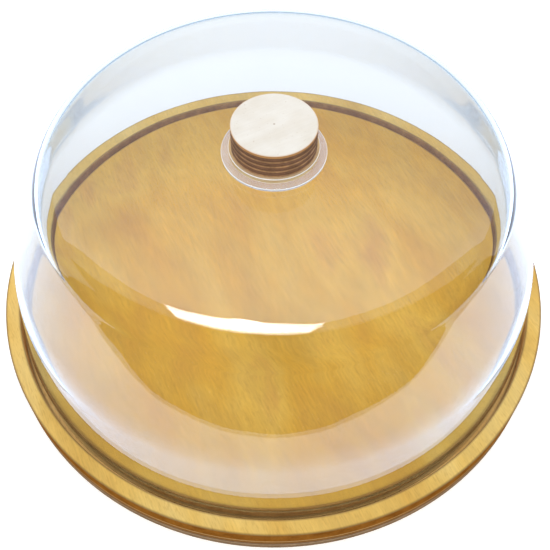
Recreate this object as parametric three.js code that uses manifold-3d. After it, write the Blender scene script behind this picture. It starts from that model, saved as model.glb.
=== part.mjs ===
// Cheese dome: a round laminated plywood board with a clear tapered cover that lifts off.
// Millimetres, +Z up, origin at the centre of the board's underside.
import * as THREE from 'three';
import { mergeVertices } from 'three/addons/utils/BufferGeometryUtils.js';
import Module from 'manifold-3d';

// ---- driving dimensions ----------------------------------------------------------------------

// board: a rim ring and a field disc on one base disc, with the dome's groove between them
const boardRadius = 150;
const basePlyThickness = 9;
const topPlyThickness = 9;
const rimWidth = 8;
const grooveWidth = 6.4;
const boardEdgeBreak = 0.6;

// dome: a straight lip, a tapered foot that bends into a more tapered wall, then a shoulder arc
// and a slow crown arc up to the flat top
const domeWall = 3;
const lipClearance = 2.2;
const lipRise = 3;
const footHeight = 34;
const footDraft = THREE.MathUtils.degToRad(7);
const bendRadius = 58;
const wallDraft = THREE.MathUtils.degToRad(24);
const shoulderRadius = 14;
const crownDraft = THREE.MathUtils.degToRad(78);
const crownRadius = 40;
const domeHeightOverBoard = 99.5;

// knob seat: two clear discs stacked on the flat top
const seatFlangeRadius = 25;
const seatFlangeThickness = 1.6;
const seatDiscRadius = 21.5;
const seatDiscThickness = 2.8;
const seatEdgeBreak = 0.4;

// knob: one disc of plywood
const knobRadius = 20.1;
const knobThickness = 13.5;
const knobEdgeBreak = 0.4;

// fastening: a pan-head screw and a washer from inside the dome
const screwRadius = 2;
const screwBite = 9;
const screwPointLength = 2;
const screwHoleClearance = 0.4;
const pilotHoleClearance = 0.3;
const pilotSpareDepth = 1;
const screwHeadRadius = 4;
const screwHeadHeight = 2.6;
const screwHeadEdgeBreak = 0.8;
const crossRecessLength = 4.4;
const crossRecessWidth = 1;
const crossRecessDepth = 1.4;
const washerRadius = 8;
const washerThickness = 1.2;

// facets round the axis, and steps along the dome's arcs
const boardFacets = 96;
const domeFacets = 80;
const seatFacets = 60;
const screwFacets = 24;
const bendSteps = 4;
const shoulderSteps = 6;
const crownSteps = 3;

// ---- sizes that follow from them ---------------------------------------------------------------

const boardTop = basePlyThickness + topPlyThickness;
const grooveOuterRadius = boardRadius - rimWidth;
const fieldRadius = grooveOuterRadius - grooveWidth;
const lipRadius = grooveOuterRadius - lipClearance;
const lipTop = boardTop + lipRise;
const domeTop = boardTop + domeHeightOverBoard;
const domeUnderside = domeTop - domeWall;
const flangeTop = domeTop + seatFlangeThickness;
const seatTop = flangeTop + seatDiscThickness;
const knobTop = seatTop + knobThickness;
const washerUnderside = domeUnderside - washerThickness;
const screwHoleRadius = screwRadius + screwHoleClearance;
const pilotHoleRadius = screwRadius + pilotHoleClearance;

// ---- materials ---------------------------------------------------------------------------------

const surface = (color, roughness, extra = {}) =>
  new THREE.MeshStandardMaterial({ color, roughness, metalness: 0, ...extra });

const honeyPlywood = surface(0xd2ac62, 0.4);
const rimPlywood = surface(0xe0b968, 0.4);
const basePlywood = surface(0x957a60, 0.55);
const palePlywood = surface(0xefe6d6, 0.6);
const clearAcrylic = surface(0xf4fafc, 0.05, { transparent: true, opacity: 0.3 });
const zincSteel = surface(0xb9bcc0, 0.35, { metalness: 1 });

// ---- shape helpers -----------------------------------------------------------------------------

// An outline of [radius, height] pairs, anticlockwise in the r-z plane, turned about Z.
// An outline that leaves the axis open is closed on its first point.
function turned(outline, facets) {
  const points = outline.map(([radius, height]) => new THREE.Vector2(radius, height));
  const startsOnAxis = points[0].x === 0;
  const closed = startsOnAxis ? points : [...points, points[0]];
  return new THREE.LatheGeometry(closed, facets).rotateX(Math.PI / 2);
}

// The outline of a disc with a central hole and both outer edges broken.
function holedDisc(radius, holeRadius, bottom, top, edgeBreak) {
  return [
    [holeRadius, bottom],
    [radius - edgeBreak, bottom],
    [radius, bottom + edgeBreak],
    [radius, top - edgeBreak],
    [radius - edgeBreak, top],
    [holeRadius, top],
  ];
}

const wasm = await Module();
wasm.setup();

function toSolid(geometry) {
  const bare = geometry.clone();
  bare.deleteAttribute('normal');
  bare.deleteAttribute('uv');
  const merged = mergeVertices(bare, 1e-5);
  return new wasm.Manifold(new wasm.Mesh({
    numProp: 3,
    vertProperties: new Float32Array(merged.attributes.position.array),
    triVerts: new Uint32Array(merged.index.array),
  }));
}

function toGeometry(solid) {
  const mesh = solid.getMesh();
  const geometry = new THREE.BufferGeometry();
  geometry.setAttribute('position', new THREE.BufferAttribute(mesh.vertProperties, 3));
  geometry.setIndex(new THREE.BufferAttribute(mesh.triVerts, 1));
  geometry.computeVertexNormals();
  return geometry;
}

// ---- board -------------------------------------------------------------------------------------

function baseDisc() {
  return turned([
    [0, 0],
    [boardRadius - boardEdgeBreak, 0],
    [boardRadius, boardEdgeBreak],
    [boardRadius, basePlyThickness],
    [0, basePlyThickness],
  ], boardFacets);
}

function rimRing() {
  return turned([
    [grooveOuterRadius, basePlyThickness],
    [boardRadius, basePlyThickness],
    [boardRadius, boardTop - boardEdgeBreak],
    [boardRadius - boardEdgeBreak, boardTop],
    [grooveOuterRadius + boardEdgeBreak, boardTop],
    [grooveOuterRadius, boardTop - boardEdgeBreak],
  ], boardFacets);
}

function fieldDisc() {
  return turned([
    [0, basePlyThickness],
    [fieldRadius, basePlyThickness],
    [fieldRadius, boardTop - boardEdgeBreak],
    [fieldRadius - boardEdgeBreak, boardTop],
    [0, boardTop],
  ], boardFacets);
}

// ---- dome --------------------------------------------------------------------------------------

// The dome's outer face from the top of its lip to the edge of its flat top. Each point carries
// the face's draft there, which is its lean from upright.
function domeOuterFace() {
  const arcRise = (radius, from, to) => radius * (Math.sin(to) - Math.sin(from));
  const wallHeight = domeHeightOverBoard - lipRise - footHeight
    - arcRise(bendRadius, footDraft, wallDraft)
    - arcRise(shoulderRadius, wallDraft, crownDraft)
    - arcRise(crownRadius, crownDraft, Math.PI / 2);
  const face = [{ radius: lipRadius, height: lipTop, draft: footDraft }];
  const goStraight = (rise) => {
    const { radius, height, draft } = face.at(-1);
    face.push({ radius: radius - rise * Math.tan(draft), height: height + rise, draft });
  };
  const turnTo = (endDraft, arcRadius, steps) => {
    const start = face.at(-1);
    for (let step = 1; step <= steps; step += 1) {
      const draft = THREE.MathUtils.lerp(start.draft, endDraft, step / steps);
      face.push({
        radius: start.radius - arcRadius * (Math.cos(start.draft) - Math.cos(draft)),
        height: start.height + arcRise(arcRadius, start.draft, draft),
        draft,
      });
    }
  };
  goStraight(footHeight);
  turnTo(wallDraft, bendRadius, bendSteps);
  goStraight(wallHeight);
  turnTo(crownDraft, shoulderRadius, shoulderSteps);
  turnTo(Math.PI / 2, crownRadius, crownSteps);
  return face;
}

// One face of the dome, from the foot of its lip to the edge of its flat top, set in from the
// outer face by `inset` along the outer face's own normal, so the wall keeps its thickness.
function domeFace(inset) {
  const [, ...aboveLip] = domeOuterFace();
  return [
    [lipRadius - inset, basePlyThickness],
    [lipRadius - inset, lipTop - inset * Math.tan(footDraft / 2)],
    ...aboveLip.map(({ radius, height, draft }) => [
      radius - inset * Math.cos(draft),
      height - inset * Math.sin(draft),
    ]),
  ];
}

function domeShell() {
  return turned([
    ...domeFace(0),
    [screwHoleRadius, domeTop],
    [screwHoleRadius, domeUnderside],
    ...domeFace(domeWall).reverse(),
  ], domeFacets);
}

function seatFlange() {
  return turned(
    holedDisc(seatFlangeRadius, screwHoleRadius, domeTop, flangeTop, seatEdgeBreak),
    seatFacets,
  );
}

function seatDisc() {
  return turned(
    holedDisc(seatDiscRadius, screwHoleRadius, flangeTop, seatTop, seatEdgeBreak),
    seatFacets,
  );
}

// ---- knob and its fastening ----------------------------------------------------------------------

function knob() {
  const pilotTop = seatTop + screwBite + pilotSpareDepth;
  return turned([
    [0, pilotTop],
    [pilotHoleRadius, pilotTop],
    [pilotHoleRadius, seatTop],
    [knobRadius - knobEdgeBreak, seatTop],
    [knobRadius, seatTop + knobEdgeBreak],
    [knobRadius, knobTop - knobEdgeBreak],
    [knobRadius - knobEdgeBreak, knobTop],
    [0, knobTop],
  ], seatFacets);
}

function washer() {
  return turned([
    [screwHoleRadius, washerUnderside],
    [washerRadius, washerUnderside],
    [washerRadius, domeUnderside],
    [screwHoleRadius, domeUnderside],
  ], screwFacets);
}

// The head is below the washer, and the point is up inside the knob.
function screw() {
  const headUnderside = washerUnderside - screwHeadHeight;
  const pointTip = seatTop + screwBite;
  const blank = turned([
    [0, headUnderside],
    [screwHeadRadius - screwHeadEdgeBreak, headUnderside],
    [screwHeadRadius, headUnderside + screwHeadEdgeBreak],
    [screwHeadRadius, washerUnderside],
    [screwRadius, washerUnderside],
    [screwRadius, pointTip - screwPointLength],
    [0, pointTip],
  ], screwFacets);
  const slotDepth = crossRecessDepth * 2;
  const slot = new THREE.BoxGeometry(crossRecessLength, crossRecessWidth, slotDepth);
  slot.translate(0, 0, headUnderside);
  const crossSlot = slot.clone().rotateZ(Math.PI / 2);
  return toGeometry(toSolid(blank).subtract(toSolid(slot)).subtract(toSolid(crossSlot)));
}

// ---- the assembly ------------------------------------------------------------------------------

const pieces = [
  ['base_disc', baseDisc(), basePlywood],
  ['rim_ring', rimRing(), rimPlywood],
  ['field_disc', fieldDisc(), honeyPlywood],
  ['dome_shell', domeShell(), clearAcrylic],
  ['seat_flange', seatFlange(), clearAcrylic],
  ['seat_disc', seatDisc(), clearAcrylic],
  ['knob', knob(), palePlywood],
  ['knob_washer', washer(), zincSteel],
  ['knob_screw', screw(), zincSteel],
];

const cheeseDome = new THREE.Group();
for (const [name, geometry, material] of pieces) {
  const mesh = new THREE.Mesh(geometry, material.clone());
  mesh.name = name;
  cheeseDome.add(mesh);
}

export default cheeseDome;
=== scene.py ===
import math

import bmesh
import bpy
from mathutils import Matrix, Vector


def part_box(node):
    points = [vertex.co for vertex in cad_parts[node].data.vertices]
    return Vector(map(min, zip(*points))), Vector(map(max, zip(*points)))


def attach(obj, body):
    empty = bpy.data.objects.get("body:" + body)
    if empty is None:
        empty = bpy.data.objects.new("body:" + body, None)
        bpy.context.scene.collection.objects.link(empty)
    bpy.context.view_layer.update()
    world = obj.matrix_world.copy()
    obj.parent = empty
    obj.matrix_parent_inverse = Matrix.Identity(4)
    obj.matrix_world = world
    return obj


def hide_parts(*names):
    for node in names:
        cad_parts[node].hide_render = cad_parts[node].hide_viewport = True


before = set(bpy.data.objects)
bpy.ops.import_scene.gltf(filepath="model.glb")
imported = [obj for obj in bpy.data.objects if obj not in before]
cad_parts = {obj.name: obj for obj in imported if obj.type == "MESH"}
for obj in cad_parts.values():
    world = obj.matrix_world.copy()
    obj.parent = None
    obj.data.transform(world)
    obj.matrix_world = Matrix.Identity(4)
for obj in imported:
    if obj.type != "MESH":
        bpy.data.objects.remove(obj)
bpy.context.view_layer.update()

# Sizes in metres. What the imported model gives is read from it.

board_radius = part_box("base_disc")[1].x
base_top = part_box("base_disc")[1].z
board_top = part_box("rim_ring")[1].z
field_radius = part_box("field_disc")[1].x
lip_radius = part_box("dome_shell")[1].x
dome_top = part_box("dome_shell")[1].z
flange_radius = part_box("seat_flange")[1].x
flange_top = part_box("seat_flange")[1].z
seat_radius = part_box("seat_disc")[1].x
seat_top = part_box("seat_disc")[1].z
knob_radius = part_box("knob")[1].x
knob_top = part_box("knob")[1].z
washer_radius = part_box("knob_washer")[1].x
washer_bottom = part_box("knob_washer")[0].z

lip_clearance = 0.0022
groove_outer_radius = lip_radius + lip_clearance
dome_wall = 0.003
lip_rise = 0.003
foot_height = 0.034
foot_draft = math.radians(7)
bend_radius = 0.058
wall_draft = math.radians(24)
shoulder_radius = 0.014
crown_draft = math.radians(78)
crown_radius = 0.040
screw_hole_radius = 0.0024
ply = 0.0015
char_depth = 0.00015
arris = 0.0006
fine_edge = 0.0004
seam = 0.00012
air_gap = 0.00004
turning_steps = 192

# Sizes of the studio round it, in metres.

card_reach = 1.60
card_height = 1.52
front_card_start = 0.365
ceiling_height = 1.53
ceiling_half_width = 1.2
ceiling_near = 0.77
ceiling_far = 1.70
ceiling_glow_end = 1.34
lamp_width = 0.41
lamp_depth = 0.27
lamp_radiance = 18.0


def linear(code):
    """The linear colour of an sRGB hex value, with an alpha of 1."""
    parts = [int(code[i:i + 2], 16) / 255 for i in (0, 2, 4)]
    return [p / 12.92 if p <= 0.04045 else ((p + 0.055) / 1.055) ** 2.4 for p in parts] + [1.0]


def add(tree, kind, sockets=None, **settings):
    """Adds a node with its settings, and sets or links the sockets named."""
    node = tree.nodes.new(kind)
    for name, value in settings.items():
        setattr(node, name, value)
    for name, value in (sockets or {}).items():
        if isinstance(value, bpy.types.NodeSocket):
            tree.links.new(value, node.inputs[name])
        else:
            node.inputs[name].default_value = value
    return node


def new_material(name):
    """An empty material and its node tree."""
    material = bpy.data.materials.new(name)
    material.use_nodes = True
    material.node_tree.nodes.clear()
    return material, material.node_tree


def set_stops(ramp, stops):
    """Gives a colour ramp its (place, hex) stops."""
    while len(ramp.elements) < len(stops):
        ramp.elements.new(1.0)
    for element, (place, code) in zip(ramp.elements, stops):
        element.position = place
        element.color = linear(code)


# Wood


def grain(tree, place, across, along, detail=2.0, turn=25.0, shift=0.0, distortion=0.0):
    """Noise stretched along the grain. across and along are its real sizes in metres."""
    spread = add(tree, "ShaderNodeMapping", {
        "Vector": place,
        "Location": (shift, shift, shift),
        "Rotation": (0, 0, math.radians(turn)),
        "Scale": (across, along, across),
    }, vector_type="TEXTURE")
    noise = add(tree, "ShaderNodeTexNoise", {
        "Vector": spread.outputs[0],
        "Scale": 1.0,
        "Detail": detail,
        "Roughness": 0.55,
        "Distortion": distortion,
    })
    return noise.outputs[0]


def varnished_birch(name, clouds_of, line_radii, painted_edge_shade=1.0):
    """Honey-varnished birch: clouds, fibres, pores, dark lines at given radii, painted shade at the
    edge.
    """
    material, tree = new_material(name)
    place = add(tree, "ShaderNodeTexCoord").outputs["Object"]
    clouds = grain(tree, place, 0.040, 0.095, 3.0, shift=0.31, distortion=0.3)
    figure = grain(tree, place, 0.013, 0.034, 2.0, shift=0.12, distortion=0.2)
    fibres = grain(tree, place, 0.0010, 0.012, 2.0)
    pores = grain(tree, place, 0.0006, 0.0030, 0.0, shift=0.17)
    colour = add(tree, "ShaderNodeValToRGB", {0: clouds})
    set_stops(colour.color_ramp, clouds_of)
    figure_shade = add(tree, "ShaderNodeMapRange", {
        "Value": figure, "From Min": 0.3, "From Max": 0.7, "To Min": 0.93, "To Max": 1.05,
    })
    figured = add(tree, "ShaderNodeMix", {
        0: 1.0, 6: colour.outputs[0], 7: figure_shade.outputs[0],
    }, data_type="RGBA", blend_type="MULTIPLY")
    fibre_shade = add(tree, "ShaderNodeMapRange", {
        "Value": fibres, "From Min": 0.3, "From Max": 0.7, "To Min": 0.92, "To Max": 1.08,
    })
    fibred = add(tree, "ShaderNodeMix", {
        0: 1.0, 6: figured.outputs[2], 7: fibre_shade.outputs[0],
    }, data_type="RGBA", blend_type="MULTIPLY")
    pore_share = add(tree, "ShaderNodeMapRange", {
        "Value": pores, "From Min": 0.60, "From Max": 0.74, "To Min": 0.0, "To Max": 0.20,
    })
    colour = add(tree, "ShaderNodeMix", {
        0: pore_share.outputs[0], 6: fibred.outputs[2], 7: linear("A2722A"),
    }, data_type="RGBA").outputs[2]
    flat = add(tree, "ShaderNodeVectorMath", {0: place, 1: (1.0, 1.0, 0.0)}, operation="MULTIPLY")
    radius = add(tree, "ShaderNodeVectorMath", {0: flat.outputs[0]}, operation="LENGTH")
    # Painted shade: the colour darkens from 75 to 125 mm out, standing in for the dome's shade on the
    # wood near its wall.
    painted_edge_darkening = add(tree, "ShaderNodeMapRange", {
        "Value": radius.outputs["Value"], "From Min": 0.075, "From Max": 0.125,
        "To Min": 1.0, "To Max": painted_edge_shade,
    })
    colour = add(tree, "ShaderNodeMix", {
        0: 1.0, 6: colour, 7: painted_edge_darkening.outputs[0],
    }, data_type="RGBA", blend_type="MULTIPLY").outputs[2]
    # Dark lines at these radii: scorch along a face's own cut edge, and on the groove floor painted
    # shade at the foot of its walls.
    for line_radius in line_radii:
        gap = add(tree, "ShaderNodeMath", {
            0: radius.outputs["Value"], 1: line_radius,
        }, operation="SUBTRACT")
        near = add(tree, "ShaderNodeMath", {0: gap.outputs[0]}, operation="ABSOLUTE")
        scorch_and_shade_line = add(tree, "ShaderNodeMapRange", {
            "Value": near.outputs[0], "From Min": 0.0003, "From Max": 0.0013,
            "To Min": 0.7, "To Max": 0.0,
        })
        colour = add(tree, "ShaderNodeMix", {
            0: scorch_and_shade_line.outputs[0], 6: colour, 7: linear("5A3620"),
        }, data_type="RGBA").outputs[2]
    relief = add(tree, "ShaderNodeBump", {
        "Strength": 0.2, "Distance": 0.0001, "Height": fibres,
    })
    sheen = add(tree, "ShaderNodeMapRange", {
        "Value": figure, "From Min": 0.3, "From Max": 0.7, "To Min": 0.50, "To Max": 0.62,
    })
    surface = add(tree, "ShaderNodeBsdfPrincipled", {
        "Base Color": colour,
        "Roughness": sheen.outputs[0],
        "Normal": relief.outputs[0],
        "Specular IOR Level": 0.25,
    })
    add(tree, "ShaderNodeOutputMaterial", {"Surface": surface.outputs[0]})
    return material


def ply_edge(name, light, dark, lines):
    """Sawn plywood edge: brown end grain with sooty patches, fine hairs and its glue lines."""
    material, tree = new_material(name)
    place = add(tree, "ShaderNodeTexCoord").outputs["Object"]
    height = add(tree, "ShaderNodeSeparateXYZ", {0: place}).outputs["Z"]
    soot = grain(tree, place, 0.007, 0.007, 4.0, turn=0.0)
    hairs = grain(tree, place, 0.0012, 0.0012, 2.0, turn=0.0, shift=0.4)
    patches = add(tree, "ShaderNodeValToRGB", {0: soot})
    set_stops(patches.color_ramp, [(0.35, light), (0.65, dark)])
    colour = patches.outputs[0]
    for line_height, half_width, code in lines:
        gap = add(tree, "ShaderNodeMath", {0: height, 1: line_height}, operation="SUBTRACT")
        near = add(tree, "ShaderNodeMath", {0: gap.outputs[0]}, operation="ABSOLUTE")
        share = add(tree, "ShaderNodeMapRange", {
            "Value": near.outputs[0], "From Min": 0.5 * half_width, "From Max": 1.5 * half_width,
            "To Min": 0.85, "To Max": 0.0,
        })
        colour = add(tree, "ShaderNodeMix", {
            0: share.outputs[0], 6: colour, 7: linear(code),
        }, data_type="RGBA").outputs[2]
    shade = add(tree, "ShaderNodeMapRange", {
        "Value": hairs, "From Min": 0.3, "From Max": 0.7, "To Min": 0.84, "To Max": 1.06,
    })
    shaded = add(tree, "ShaderNodeMix", {
        0: 1.0, 6: colour, 7: shade.outputs[0],
    }, data_type="RGBA", blend_type="MULTIPLY")
    relief = add(tree, "ShaderNodeBump", {"Strength": 0.5, "Distance": 0.0002, "Height": hairs})
    sheen = add(tree, "ShaderNodeMapRange", {
        "Value": soot, "From Min": 0.3, "From Max": 0.7, "To Min": 0.38, "To Max": 0.58,
    })
    surface = add(tree, "ShaderNodeBsdfPrincipled", {
        "Base Color": shaded.outputs[2],
        "Roughness": sheen.outputs[0],
        "Normal": relief.outputs[0],
        "Specular IOR Level": 0.0,
    })
    add(tree, "ShaderNodeOutputMaterial", {"Surface": surface.outputs[0]})
    return material


def bare_birch(name):
    """Bare sanded birch: near-white cream with faint fibres, a few specks and a toasted rim."""
    material, tree = new_material(name)
    place = add(tree, "ShaderNodeTexCoord").outputs["Object"]
    fibres = grain(tree, place, 0.0009, 0.010, 3.0, turn=-60.0)
    clouds = grain(tree, place, 0.009, 0.014, 2.0, turn=-60.0, shift=0.2)
    specks = grain(tree, place, 0.0008, 0.0011, 1.0, turn=-60.0, shift=0.7)
    cream = add(tree, "ShaderNodeValToRGB", {0: clouds})
    set_stops(cream.color_ramp, [(0.35, "E2DED6"), (0.65, "DCD6CB")])
    fibre_shade = add(tree, "ShaderNodeMapRange", {
        "Value": fibres, "From Min": 0.3, "From Max": 0.7, "To Min": 0.965, "To Max": 1.01,
    })
    fibred = add(tree, "ShaderNodeMix", {
        0: 1.0, 6: cream.outputs[0], 7: fibre_shade.outputs[0],
    }, data_type="RGBA", blend_type="MULTIPLY")
    speck_share = add(tree, "ShaderNodeMapRange", {
        "Value": specks, "From Min": 0.70, "From Max": 0.76, "To Min": 0.0, "To Max": 0.3,
    })
    specked = add(tree, "ShaderNodeMix", {
        0: speck_share.outputs[0], 6: fibred.outputs[2], 7: linear("A98F6E"),
    }, data_type="RGBA")
    flat = add(tree, "ShaderNodeVectorMath", {0: place, 1: (1.0, 1.0, 0.0)}, operation="MULTIPLY")
    radius = add(tree, "ShaderNodeVectorMath", {0: flat.outputs[0]}, operation="LENGTH")
    rim_share = add(tree, "ShaderNodeMapRange", {
        "Value": radius.outputs["Value"],
        "From Min": knob_radius - 0.0007, "From Max": knob_radius - 0.0001,
        "To Min": 0.0, "To Max": 0.5,
    })
    rimmed = add(tree, "ShaderNodeMix", {
        0: rim_share.outputs[0], 6: specked.outputs[2], 7: linear("D8B080"),
    }, data_type="RGBA")
    dot_share = add(tree, "ShaderNodeMapRange", {
        "Value": radius.outputs["Value"], "From Min": 0.0003, "From Max": 0.0006,
        "To Min": 0.6, "To Max": 0.0,
    })
    dotted = add(tree, "ShaderNodeMix", {
        0: dot_share.outputs[0], 6: rimmed.outputs[2], 7: linear("8A6B45"),
    }, data_type="RGBA")
    relief = add(tree, "ShaderNodeBump", {"Strength": 0.2, "Distance": 0.0001, "Height": fibres})
    sheen = add(tree, "ShaderNodeMapRange", {
        "Value": clouds, "From Min": 0.3, "From Max": 0.7, "To Min": 0.55, "To Max": 0.68,
    })
    surface = add(tree, "ShaderNodeBsdfPrincipled", {
        "Base Color": dotted.outputs[2],
        "Roughness": sheen.outputs[0],
        "Normal": relief.outputs[0],
    })
    add(tree, "ShaderNodeOutputMaterial", {"Surface": surface.outputs[0]})
    return material


def charred_plies(name, first_ply_bottom):
    """The knob's laser-cut side: nine plies, dark brown end grain between paler scorched ones."""
    material, tree = new_material(name)
    place = add(tree, "ShaderNodeTexCoord").outputs["Object"]
    height = add(tree, "ShaderNodeSeparateXYZ", {0: place}).outputs["Z"]
    soot = grain(tree, place, 0.005, 0.005, 3.0, turn=0.0)
    hairs = grain(tree, place, 0.0010, 0.0010, 2.0, turn=0.0, shift=0.3)
    rise = add(tree, "ShaderNodeMath", {0: height, 1: first_ply_bottom}, operation="SUBTRACT")
    pairs = add(tree, "ShaderNodeMath", {0: rise.outputs[0], 1: 2 * ply}, operation="DIVIDE")
    phase = add(tree, "ShaderNodeMath", {0: pairs.outputs[0]}, operation="FRACT")
    bands = add(tree, "ShaderNodeValToRGB", {0: phase.outputs[0]})
    set_stops(bands.color_ramp, [
        (0.00, "A27850"), (0.08, "C09262"), (0.28, "B0865A"), (0.40, "765038"), (0.60, "8A6246"),
        (0.94, "78523A"), (1.00, "A27850"),
    ])
    soot_share = add(tree, "ShaderNodeMapRange", {
        "Value": soot, "From Min": 0.35, "From Max": 0.62, "To Min": 0.0, "To Max": 0.55,
    })
    sooty = add(tree, "ShaderNodeMix", {
        0: soot_share.outputs[0], 6: bands.outputs[0], 7: linear("6A4A32"),
    }, data_type="RGBA")
    hair_shade = add(tree, "ShaderNodeMapRange", {
        "Value": hairs, "From Min": 0.3, "From Max": 0.7, "To Min": 0.85, "To Max": 1.06,
    })
    shaded = add(tree, "ShaderNodeMix", {
        0: 1.0, 6: sooty.outputs[2], 7: hair_shade.outputs[0],
    }, data_type="RGBA", blend_type="MULTIPLY")
    top_share = add(tree, "ShaderNodeMapRange", {
        "Value": height, "From Min": knob_top - ply, "From Max": knob_top - 0.7 * ply,
        "To Min": 0.0, "To Max": 0.85,
    })
    topped = add(tree, "ShaderNodeMix", {
        0: top_share.outputs[0], 6: shaded.outputs[2], 7: linear("C08A4E"),
    }, data_type="RGBA")
    relief = add(tree, "ShaderNodeBump", {"Strength": 0.5, "Distance": 0.0002, "Height": hairs})
    sheen = add(tree, "ShaderNodeMapRange", {
        "Value": soot, "From Min": 0.3, "From Max": 0.7, "To Min": 0.5, "To Max": 0.7,
    })
    surface = add(tree, "ShaderNodeBsdfPrincipled", {
        "Base Color": topped.outputs[2],
        "Roughness": sheen.outputs[0],
        "Normal": relief.outputs[0],
    })
    add(tree, "ShaderNodeOutputMaterial", {"Surface": surface.outputs[0]})
    return material


# Acrylic and steel


def clear_acrylic(name, tone, edge_tone, left_after, density, haze_roughness, clearness):
    """Polished acrylic: sharp reflections, a slight ripple and a cool cast that deepens edge-on."""
    material, tree = new_material(name)
    place = add(tree, "ShaderNodeTexCoord").outputs["Object"]
    ripple = grain(tree, place, 0.035, 0.035, 1.0, turn=0.0)
    relief = add(tree, "ShaderNodeBump", {"Strength": 0.06, "Distance": 0.002, "Height": ripple})
    haze = grain(tree, place, 0.004, 0.004, 2.0, turn=0.0, shift=0.6)
    roughness = add(tree, "ShaderNodeMapRange", {
        "Value": haze, "From Min": 0.55, "From Max": 0.75, "To Min": 0.0, "To Max": haze_roughness,
    })
    facing = add(tree, "ShaderNodeLayerWeight", {"Blend": 0.5}).outputs["Facing"]
    edge_share = add(tree, "ShaderNodeMapRange", {"Value": facing, "From Min": 0.5, "From Max": 0.95})
    edged = add(tree, "ShaderNodeMix", {
        0: edge_share.outputs[0], 6: linear(tone), 7: linear(edge_tone),
    }, data_type="RGBA")
    body = add(tree, "ShaderNodeBsdfPrincipled", {
        "Base Color": edged.outputs[2],
        "Roughness": roughness.outputs[0],
        "IOR": 1.49,
        "Transmission Weight": clearness,
        "Normal": relief.outputs[0],
    })
    lamp_rays = add(tree, "ShaderNodeLightPath").outputs["Is Shadow Ray"]
    let_through = add(tree, "ShaderNodeBsdfTransparent", {"Color": linear("FBFDFE")})
    surface = add(tree, "ShaderNodeMixShader", {
        0: lamp_rays, 1: body.outputs[0], 2: let_through.outputs[0],
    })
    depth_cast = add(tree, "ShaderNodeVolumeAbsorption", {
        "Color": linear(left_after), "Density": density,
    })
    add(tree, "ShaderNodeOutputMaterial", {
        "Surface": surface.outputs[0], "Volume": depth_cast.outputs[0],
    })
    return material


def zinc_plated_steel(name):
    """Bright zinc plate on pressed steel: grey with a faint blue cast and a soft sheen."""
    material, tree = new_material(name)
    place = add(tree, "ShaderNodeTexCoord").outputs["Object"]
    spangle = grain(tree, place, 0.0012, 0.0012, 3.0, turn=0.0)
    zinc_grey = add(tree, "ShaderNodeValToRGB", {0: spangle})
    set_stops(zinc_grey.color_ramp, [(0.35, "C7CACD"), (0.65, "AEB3BA")])
    sheen = add(tree, "ShaderNodeMapRange", {
        "Value": spangle, "From Min": 0.3, "From Max": 0.7, "To Min": 0.26, "To Max": 0.38,
    })
    surface = add(tree, "ShaderNodeBsdfPrincipled", {
        "Base Color": zinc_grey.outputs[0],
        "Metallic": 1.0,
        "Roughness": sheen.outputs[0],
    })
    add(tree, "ShaderNodeOutputMaterial", {"Surface": surface.outputs[0]})
    return material


# Shapes


def with_supports(outline, margin, closed):
    """The outline with an extra point near both ends of each long stretch, to keep it shaded flat."""
    points = []
    ends = outline[1:] + outline[:1] if closed else outline[1:]
    for (r0, z0), (r1, z1) in zip(outline, ends):
        points.append((r0, z0))
        length = math.hypot(r1 - r0, z1 - z0)
        if length > 4 * margin:
            for share in (margin / length, 1 - margin / length):
                points.append((r0 + (r1 - r0) * share, z0 + (z1 - z0) * share))
    if not closed:
        points.append(outline[-1])
    return points


def turned(outline, closed):
    """A bmesh turned about the Z axis from an outline of (radius, height) points."""
    bm = bmesh.new()
    verts = [bm.verts.new((r, 0, z)) for r, z in outline]
    edges = [bm.edges.new(pair) for pair in zip(verts, verts[1:])]
    if closed:
        edges.append(bm.edges.new((verts[-1], verts[0])))
    bmesh.ops.spin(
        bm, geom=verts + edges, cent=(0, 0, 0), axis=(0, 0, 1), angle=math.tau,
        steps=turning_steps, use_merge=True, use_duplicate=False,
    )
    bmesh.ops.remove_doubles(bm, verts=bm.verts, dist=1e-6)
    bmesh.ops.recalc_face_normals(bm, faces=bm.faces)
    return bm


def sharp_rings(bm, least=math.radians(50), keep=None):
    """The edges where two faces meet at more than the least angle."""
    return [
        e for e in bm.edges
        if len(e.link_faces) == 2 and e.calc_face_angle() > least and (keep is None or keep(e))
    ]


def break_edges(bm, edges, offset, segments=3):
    """Rounds these edges."""
    bmesh.ops.bevel(
        bm, geom=edges, offset=offset, offset_type="OFFSET", segments=segments,
        profile=0.5, affect="EDGES", material=-1, clamp_overlap=True,
    )
    bmesh.ops.recalc_face_normals(bm, faces=bm.faces)


def make_piece(name, bm, materials, body, nodes, side=None):
    """Turns a bmesh into a smooth-shaded piece that rides on a body and stands for CAD nodes."""
    if side:
        for face in bm.faces:
            face.material_index = side(face)
    for face in bm.faces:
        face.smooth = True
    mesh = bpy.data.meshes.new(name)
    bm.to_mesh(mesh)
    bm.free()
    mesh.set_sharp_from_angle(angle=math.radians(40))
    for material in materials:
        mesh.materials.append(material)
    piece = bpy.data.objects.new(name, mesh)
    bpy.context.scene.collection.objects.link(piece)
    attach(piece, body)
    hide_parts(*nodes)
    return piece


def upright(face):
    """1 for a face that stands up, as a cut edge does, and 0 for a flat one."""
    return int(abs(face.normal.z) < 0.7)


def sloping(face):
    """1 for a face of a broken edge, and 0 for a flat or an upright one."""
    return int(0.2 < abs(face.normal.z) < 0.95)


def arc_rise(radius, start, end):
    """How far an arc of the dome's face climbs while its draft turns from start to end."""
    return radius * (math.sin(end) - math.sin(start))


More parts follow.
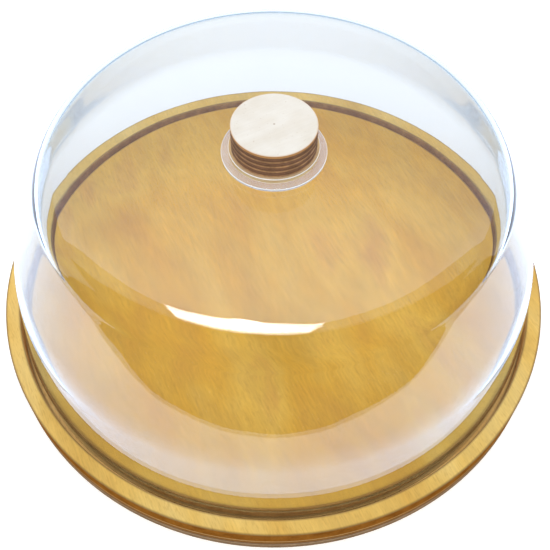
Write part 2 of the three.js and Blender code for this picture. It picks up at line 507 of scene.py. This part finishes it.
def dome_face(inset):
    """One face of the dome in (radius, height) points, from the foot of its lip to its flat top."""
    lip_top = board_top + lip_rise
    wall_height = dome_top - lip_top - foot_height
    wall_height -= arc_rise(bend_radius, foot_draft, wall_draft)
    wall_height -= arc_rise(shoulder_radius, wall_draft, crown_draft)
    wall_height -= arc_rise(crown_radius, crown_draft, math.pi / 2)
    points = [
        (lip_radius - inset, base_top + air_gap),
        (lip_radius - inset, lip_top - inset * math.tan(foot_draft / 2)),
    ]
    stretches = [
        (foot_height, foot_draft, bend_radius, wall_draft, 10),
        (wall_height, wall_draft, shoulder_radius, crown_draft, 14),
        (0.0, crown_draft, crown_radius, math.pi / 2, 12),
    ]
    radius, height = lip_radius, lip_top
    for straight_rise, start, arc_radius, end, steps in stretches:
        radius -= straight_rise * math.tan(start)
        height += straight_rise
        for i in range(0 if straight_rise else 1, steps + 1):
            draft = start + (end - start) * i / steps
            reach = radius - arc_radius * (math.cos(start) - math.cos(draft))
            rise = height + arc_rise(arc_radius, start, draft)
            points.append((reach - inset * math.cos(draft), rise - inset * math.sin(draft)))
        radius -= arc_radius * (math.cos(start) - math.cos(end))
        height += arc_rise(arc_radius, start, end)
    return points


# Board

# The rim is paler than the field, which darkens towards its edge with painted shade. The rim's edge is
# amber, and the base's edge below it is weathered to grey-brown.
honey_face = varnished_birch("varnished_birch_rim", [
    (0.30, "CEA24A"), (0.48, "DAB25A"), (0.62, "E2C070"), (0.75, "D2A450"),
], [board_radius, groove_outer_radius])
honey_field = varnished_birch("varnished_birch_field", [
    (0.28, "CC922E"), (0.45, "D5A032"), (0.58, "DCAC44"), (0.72, "D19A42"),
], [field_radius], 0.82)
amber_edge = ply_edge("scorched_amber_ply_edge", "9A6426", "82501C", [
    (base_top + 0.0005, 0.0005, "C9A36C"),
])
grey_edge = ply_edge("weathered_ply_edge", "9E8468", "8A7054", [
    (base_top - 0.7 * ply, 0.0013, "8A5A22"), (base_top - 2 * ply, 0.0003, "6F5840"),
    (base_top - 3 * ply, 0.0003, "C2A582"),
])
# Its dark lines at the foot of both groove walls are painted shade in the groove's corners.
groove_cut = varnished_birch("varnished_groove", [
    (0.30, "DDB466"), (0.50, "E8C278"), (0.70, "DAAC5C"),
], [groove_outer_radius, field_radius])
burnt_cut = ply_edge("laser_burnt_groove_wall", "D0A468", "B08450", [])

base_outline = [(0, 0), (board_radius, 0), (board_radius, base_top), (0, base_top)]
bm = turned(with_supports(base_outline, 0.0015, False), False)
break_edges(bm, sharp_rings(bm, keep=lambda e: e.verts[0].co.z < 1e-5), arris)
break_edges(bm, sharp_rings(bm), seam, 2)
make_piece(
    "base_board", bm, [groove_cut, grey_edge], "board", ["base_disc"], upright,
)

rim_outline = [
    (groove_outer_radius, base_top), (board_radius, base_top),
    (board_radius, board_top), (groove_outer_radius, board_top),
]
bm = turned(with_supports(rim_outline, 0.0015, True), True)
break_edges(bm, sharp_rings(bm, keep=lambda e: e.verts[0].co.z > board_top - 1e-5), arris)
break_edges(bm, sharp_rings(bm), seam, 2)
make_piece(
    "rim_hoop", bm, [honey_face, amber_edge, burnt_cut], "board", ["rim_ring"],
    lambda f: upright(f) * (1 if f.calc_center_median().xy.length > 0.146 else 2),
)

field_outline = [
    (0, base_top + seam), (field_radius, base_top + seam), (field_radius, board_top), (0, board_top),
]
bm = turned(with_supports(field_outline, 0.0015, False), False)
break_edges(bm, sharp_rings(bm), arris)
make_piece(
    "board_field", bm, [honey_field, burnt_cut], "board", ["field_disc"], upright,
)

# Dome and the knob's clear seat

# The shell is clear with a faint blue cast and the collar cloudy lilac-grey. The seat disc's tan is
# painted, for the wood seen through it. The collar's and the seat disc's broken edges are frosted white
# lines.
shell_acrylic = clear_acrylic("clear_moulded_acrylic", "FFFFFF", "B0C0CE", "50B3D2", 24.0, 0.02, 1.0)
collar_acrylic = clear_acrylic("cloudy_turned_acrylic", "F4F0F6", "F4F0F6", "8A8090", 12.0, 0.12, 0.76)
seat_acrylic = clear_acrylic("clear_turned_acrylic", "E8CA96", "E8CA96", "A89A80", 8.0, 0.15, 0.5)
cut_edge = clear_acrylic("frosted_cut_acrylic", "FFFFFF", "FFFFFF", "E8F0F4", 8.0, 0.5, 0.1)

outer_face = dome_face(0.0)
inner_face = dome_face(dome_wall)
shell_outline = (
    outer_face
    + [(screw_hole_radius, dome_top), (screw_hole_radius, dome_top - dome_wall)]
    + inner_face[::-1]
)
bm = turned(with_supports(shell_outline, 0.002, True), True)
break_edges(bm, sharp_rings(bm), fine_edge)
dome = make_piece(
    "dome_cover", bm, [shell_acrylic], "dome", ["dome_shell"],
)

flange_outline = [
    (screw_hole_radius, dome_top + air_gap), (flange_radius, dome_top + air_gap),
    (flange_radius, flange_top), (screw_hole_radius, flange_top),
]
bm = turned(with_supports(flange_outline, 0.0004, True), True)
break_edges(bm, sharp_rings(bm), fine_edge)
flange = make_piece(
    "seat_collar", bm, [collar_acrylic, cut_edge], "dome", ["seat_flange"],
    sloping,
)

seat_outline = [
    (screw_hole_radius, flange_top + air_gap), (seat_radius, flange_top + air_gap),
    (seat_radius, seat_top), (screw_hole_radius, seat_top),
]
bm = turned(with_supports(seat_outline, 0.0006, True), True)
break_edges(bm, sharp_rings(bm), fine_edge)
seat = make_piece(
    "seat_disc_clear", bm, [seat_acrylic, cut_edge], "dome", ["seat_disc"],
    sloping,
)

# Clear pieces don't dull the light that the wood and the floor pass to each other.
for piece in (dome, flange, seat):
    piece.visible_diffuse = False

# Knob, washer and screw

knob_face = bare_birch("bare_birch_face")
knob_bottom = seat_top + air_gap
knob_side = charred_plies("charred_ply_edge", seat_top)
knob_outline = [(0, knob_bottom)]
for i in range(9):
    reach = knob_radius - (char_depth if i % 2 else 0.0)
    knob_outline.append((reach, max(knob_bottom, seat_top + i * ply)))
    knob_outline.append((reach, seat_top + (i + 1) * ply))
knob_outline.append((0, knob_top))
bm = turned(with_supports(knob_outline, 0.0008, False), False)
break_edges(bm, sharp_rings(bm, keep=lambda e: abs(e.verts[0].co.z - knob_top) < 1e-5), fine_edge)
knob = make_piece(
    "knob_disc", bm, [knob_face, knob_side], "dome", ["knob"],
    lambda f: int(abs(f.normal.z) < 0.7 or f.calc_center_median().z < knob_top - 0.0005),
)

# The dome's flat top shows a plain sheen in front of the knob, not a second image of it.
for piece in (flange, seat, knob):
    piece.visible_glossy = False

zinc = zinc_plated_steel("zinc_plated_steel")
washer_outline = [
    (screw_hole_radius, washer_bottom), (washer_radius, washer_bottom),
    (washer_radius, dome_top - dome_wall - air_gap),
    (screw_hole_radius, dome_top - dome_wall - air_gap),
]
bm = turned(with_supports(washer_outline, 0.0003, True), True)
break_edges(bm, sharp_rings(bm), 0.0002, 2)
make_piece("washer_ring", bm, [zinc], "dome", ["knob_washer"])

bm = bmesh.new()
bm.from_mesh(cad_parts["knob_screw"].data)
bmesh.ops.remove_doubles(bm, verts=bm.verts, dist=1e-6)
make_piece("cross_head_screw", bm, [zinc], "dome", ["knob_screw"])


# Floor, cards, lamp and camera


def stage_piece(name, bm, material):
    """Makes a bmesh a part of the studio, not of the object."""
    mesh = bpy.data.meshes.new(name)
    bm.to_mesh(mesh)
    bm.free()
    mesh.materials.append(material)
    piece = bpy.data.objects.new(name, mesh)
    bpy.context.scene.collection.objects.link(piece)
    return piece


def white_floor():
    """Matt white paper: white, also through the dome; cooler in reflections, with a painted pool of
    light near the middle.
    """
    material, tree = new_material("white_paper_floor")
    paper = add(tree, "ShaderNodeBsdfDiffuse", {"Color": linear("F4F5F6")})
    path = add(tree, "ShaderNodeLightPath").outputs
    straight = add(tree, "ShaderNodeMapRange", {"Value": path["Is Camera Ray"], "To Max": 0.45})
    seen = add(tree, "ShaderNodeMath", {
        0: path["Is Transmission Ray"], 1: 0.17, 2: straight.outputs[0],
    }, operation="MULTIPLY_ADD")
    mirrored = add(tree, "ShaderNodeMath", {
        0: path["Glossy Depth"], 1: 0.5,
    }, operation="GREATER_THAN")
    # Painted pool of light: in reflections the paper glows up to 1.12 brighter near the middle, fading
    # out from 0.34 to 0.65 m.
    place = add(tree, "ShaderNodeTexCoord").outputs["Object"]
    distance = add(tree, "ShaderNodeVectorMath", {0: place}, operation="LENGTH")
    painted_glow_pool = add(tree, "ShaderNodeMapRange", {
        "Value": distance.outputs["Value"], "From Min": 0.34, "From Max": 0.65,
        "To Min": 1.12, "To Max": 0.0,
    })
    strength = add(tree, "ShaderNodeMath", {
        0: mirrored.outputs[0], 1: painted_glow_pool.outputs[0], 2: seen.outputs[0],
    }, operation="MULTIPLY_ADD")
    glow_colour = add(tree, "ShaderNodeMix", {
        0: path["Is Camera Ray"], 6: linear("BCD4FF"), 7: linear("FFFFFF"),
    }, data_type="RGBA")
    glow = add(tree, "ShaderNodeEmission", {
        "Color": glow_colour.outputs[2], "Strength": strength.outputs[0],
    })
    both = add(tree, "ShaderNodeAddShader", {0: paper.outputs[0], 1: glow.outputs[0]})
    add(tree, "ShaderNodeOutputMaterial", {"Surface": both.outputs[0]})
    return material


def bright_ceiling(near, far):
    """The studio's lit ceiling, that only reflections show. It fades from near to far along Y."""
    material, tree = new_material("bright_ceiling")
    place = add(tree, "ShaderNodeTexCoord").outputs["Object"]
    back = add(tree, "ShaderNodeSeparateXYZ", {0: place}).outputs["Y"]
    fading = add(tree, "ShaderNodeMapRange", {
        "Value": back, "From Min": near, "From Max": far, "To Min": 3.1, "To Max": 0.95,
    })
    glow = add(tree, "ShaderNodeEmission", {
        "Color": linear("B8D6FF"), "Strength": fading.outputs[0],
    })
    add(tree, "ShaderNodeOutputMaterial", {"Surface": glow.outputs[0]})
    return material


def dark_card():
    """Dark grey card that only reflections show."""
    material, tree = new_material("dark_card")
    path = add(tree, "ShaderNodeLightPath").outputs
    once = add(tree, "ShaderNodeMath", {0: path["Glossy Depth"], 1: 1.0, 2: 0.5}, operation="COMPARE")
    shallow = add(tree, "ShaderNodeMath", {0: path["Transmission Depth"], 1: 2.5}, operation="LESS_THAN")
    mirrored = add(tree, "ShaderNodeMath", {
        0: once.outputs[0], 1: shallow.outputs[0],
    }, operation="MULTIPLY")
    clear = add(tree, "ShaderNodeBsdfTransparent")
    card = add(tree, "ShaderNodeBsdfDiffuse", {"Color": linear("34383C")})
    surface = add(tree, "ShaderNodeMixShader", {
        0: mirrored.outputs[0], 1: clear.outputs[0], 2: card.outputs[0],
    })
    add(tree, "ShaderNodeOutputMaterial", {"Surface": surface.outputs[0]})
    return material


bm = bmesh.new()
bmesh.ops.create_grid(bm, x_segments=1, y_segments=1, size=4.0)
bmesh.ops.translate(bm, verts=bm.verts, vec=(0, 0, -0.0002))
stage_piece("paper_floor", bm, white_floor())

card_material = dark_card()
bm = bmesh.new()
bmesh.ops.create_grid(bm, x_segments=1, y_segments=1, size=1.0)
bmesh.ops.transform(bm, verts=bm.verts, matrix=Matrix.Diagonal((card_reach, 1.03, 1.0, 1.0)))
bmesh.ops.translate(bm, verts=bm.verts, vec=(0.0, -0.57, card_height))
overhead = stage_piece("overhead_card", bm, card_material)

bm = bmesh.new()
card_profile = [(front_card_start, 0.001), (card_reach, 0.001), (card_reach, card_height)]
corners = [bm.verts.new((0, -r, z)) for r, z in card_profile]
card_edges = [bm.edges.new(pair) for pair in zip(corners, corners[1:])]
turn_to_start = Matrix.Rotation(math.radians(-86), 3, "Z")
bmesh.ops.rotate(bm, verts=bm.verts, cent=(0, 0, 0), matrix=turn_to_start)
bmesh.ops.spin(
    bm, geom=corners + card_edges, cent=(0, 0, 0), axis=(0, 0, 1), angle=math.radians(182),
    steps=48, use_merge=False, use_duplicate=False,
)
front = stage_piece("front_card", bm, card_material)

bm = bmesh.new()
ceiling_outline = [
    (-ceiling_half_width, ceiling_near), (ceiling_half_width, ceiling_near),
    (ceiling_half_width, ceiling_far), (-ceiling_half_width, ceiling_far),
]
bm.faces.new([bm.verts.new((x, y, ceiling_height)) for x, y in ceiling_outline])
ceiling = stage_piece("lit_ceiling", bm, bright_ceiling(ceiling_near, ceiling_glow_end))
ceiling.visible_camera = False
ceiling.visible_transmission = False
for piece in (overhead, front, ceiling):
    piece.visible_shadow = False
    piece.visible_diffuse = False

lamp_data = bpy.data.lights.new("overhead_softbox", "AREA")
lamp_data.shape = "RECTANGLE"
lamp_data.size = lamp_width
lamp_data.size_y = lamp_depth
lamp_data.energy = lamp_radiance * math.pi * lamp_width * lamp_depth
lamp = bpy.data.objects.new("overhead_softbox", lamp_data)
lamp.location = (-0.085, 0.625, 1.50)
lamp.rotation_euler = (0, 0, math.radians(-6))
lamp.visible_camera = False
bpy.context.scene.collection.objects.link(lamp)

world = bpy.data.worlds.new("white_studio")
world.use_nodes = True
world.node_tree.nodes.clear()
sky_colour = add(world.node_tree, "ShaderNodeMix", {
    0: add(world.node_tree, "ShaderNodeLightPath").outputs["Is Glossy Ray"],
    6: linear("FFFFFF"), 7: linear("BFD2E4"),
}, data_type="RGBA")
sky = add(world.node_tree, "ShaderNodeBackground", {
    "Color": sky_colour.outputs[2], "Strength": 1.0,
})
add(world.node_tree, "ShaderNodeOutputWorld", {"Surface": sky.outputs[0]})
bpy.context.scene.world = world

camera_data = bpy.data.cameras.new("camera")
camera_data.sensor_width = 36.0
camera_data.lens = 54.04
camera_data.shift_x = 0.0053
camera_data.shift_y = 0.0145
camera_data.clip_start = 0.01
camera = bpy.data.objects.new("camera", camera_data)
camera.matrix_world = (
    Matrix.Translation((0.0, -0.2703, 0.4026))
    @ Matrix.Rotation(0.0030, 4, "Z")
    @ Matrix.Rotation(math.radians(34.43), 4, "X")
    @ Matrix.Rotation(0.0019, 4, "Z")
)
bpy.context.scene.collection.objects.link(camera)
bpy.context.scene.camera = camera
bpy.context.scene.view_settings.view_transform = "Standard"
